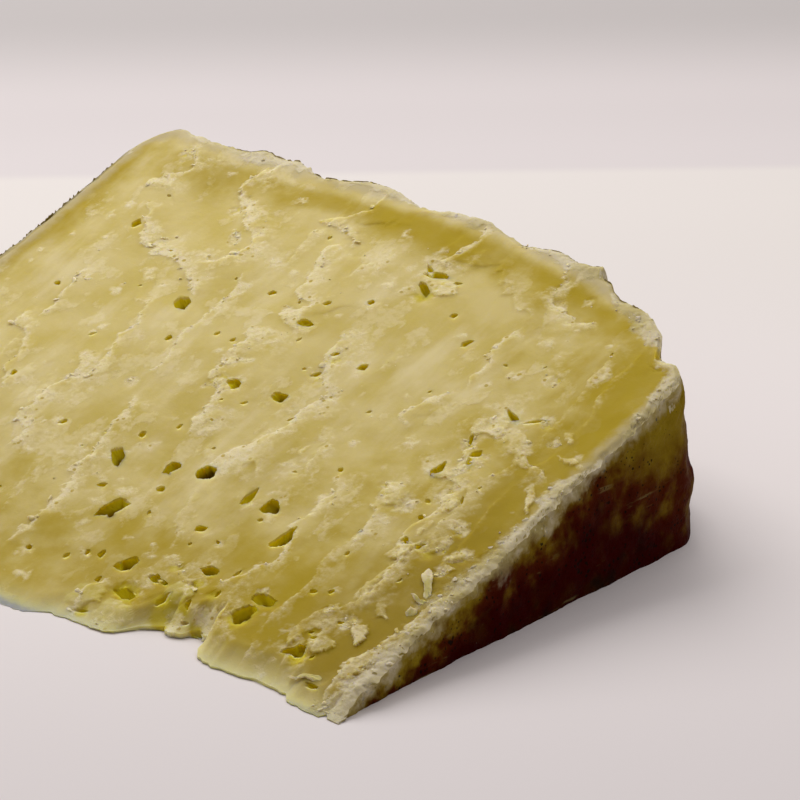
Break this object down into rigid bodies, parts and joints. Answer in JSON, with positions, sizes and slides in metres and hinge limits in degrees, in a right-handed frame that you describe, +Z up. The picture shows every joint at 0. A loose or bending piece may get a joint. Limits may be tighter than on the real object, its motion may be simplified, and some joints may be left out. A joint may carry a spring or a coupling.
{
  "type": "cheddar wedge",
  "caption": "Wedge of mature cheddar with its rind, lying on one cut face, with angular eyes, torn crumbly patches and a chipped thin edge.",
  "frame": {"origin": "middle of the lower cut face, on the surface the wedge lies on, half the cheese's radius behind its thin edge", "axes": "+X along the axis of the whole cheese, towards the slumped shoulder; +Y from the thin edge to the rind; +Z up"},
  "size_m": [0.1277, 0.1064, 0.0346],
  "materials": {
    "cheese": "waxy satin, slightly translucent",
    "rind": "dry, mottled, crumbly at the cut"
  },
  "bodies": {
    "root": {"cheese_wedge": "cheese"}
  },
  "joints": []
}
